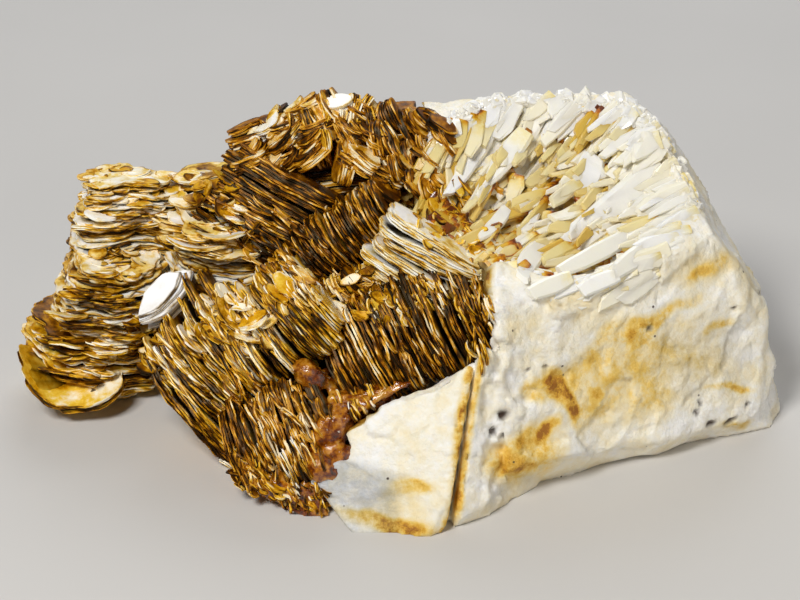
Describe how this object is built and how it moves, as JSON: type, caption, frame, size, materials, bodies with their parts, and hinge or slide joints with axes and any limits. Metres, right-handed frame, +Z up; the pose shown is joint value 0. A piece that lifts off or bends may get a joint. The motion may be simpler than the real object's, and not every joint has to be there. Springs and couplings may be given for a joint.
{
  "type": "mica crystal specimen",
  "caption": "Mineral hand specimen: stacked books of golden mica sheets grown over white platy feldspar, with a hollow lined by pale blades.",
  "frame": {"origin": "middle of the footprint, on the flat underside that the specimen rests on", "axes": "+X along the specimen from the mica's end to the feldspar's end, +Y to its back, +Z up"},
  "size_m": [0.1351, 0.0681, 0.0545],
  "materials": {
    "white_feldspar": "broken",
    "pale_blades": "vitreous",
    "stained_quartz": "glassy",
    "silver_mica": "pearly",
    "golden_mica": "pearly"
  },
  "bodies": {
    "root": {"feldspar_matrix": "white_feldspar", "cleavelandite_blades": "pale_blades", "stained_quartz": "stained_quartz", "mica_silver_tablet": "silver_mica", "mica_left_top": "golden_mica", "mica_left_middle": "golden_mica", "mica_left_low": "golden_mica", "mica_shoulder": "golden_mica", "mica_rosette": "golden_mica", "mica_upper_stack": "golden_mica", "mica_ridge": "golden_mica", "mica_cap_plates": "golden_mica", "mica_curved_wall": "golden_mica", "mica_front_stack": "golden_mica", "mica_front_fan": "golden_mica", "mica_lower_stack": "golden_mica", "mica_back_book": "golden_mica"}
  },
  "joints": []
}
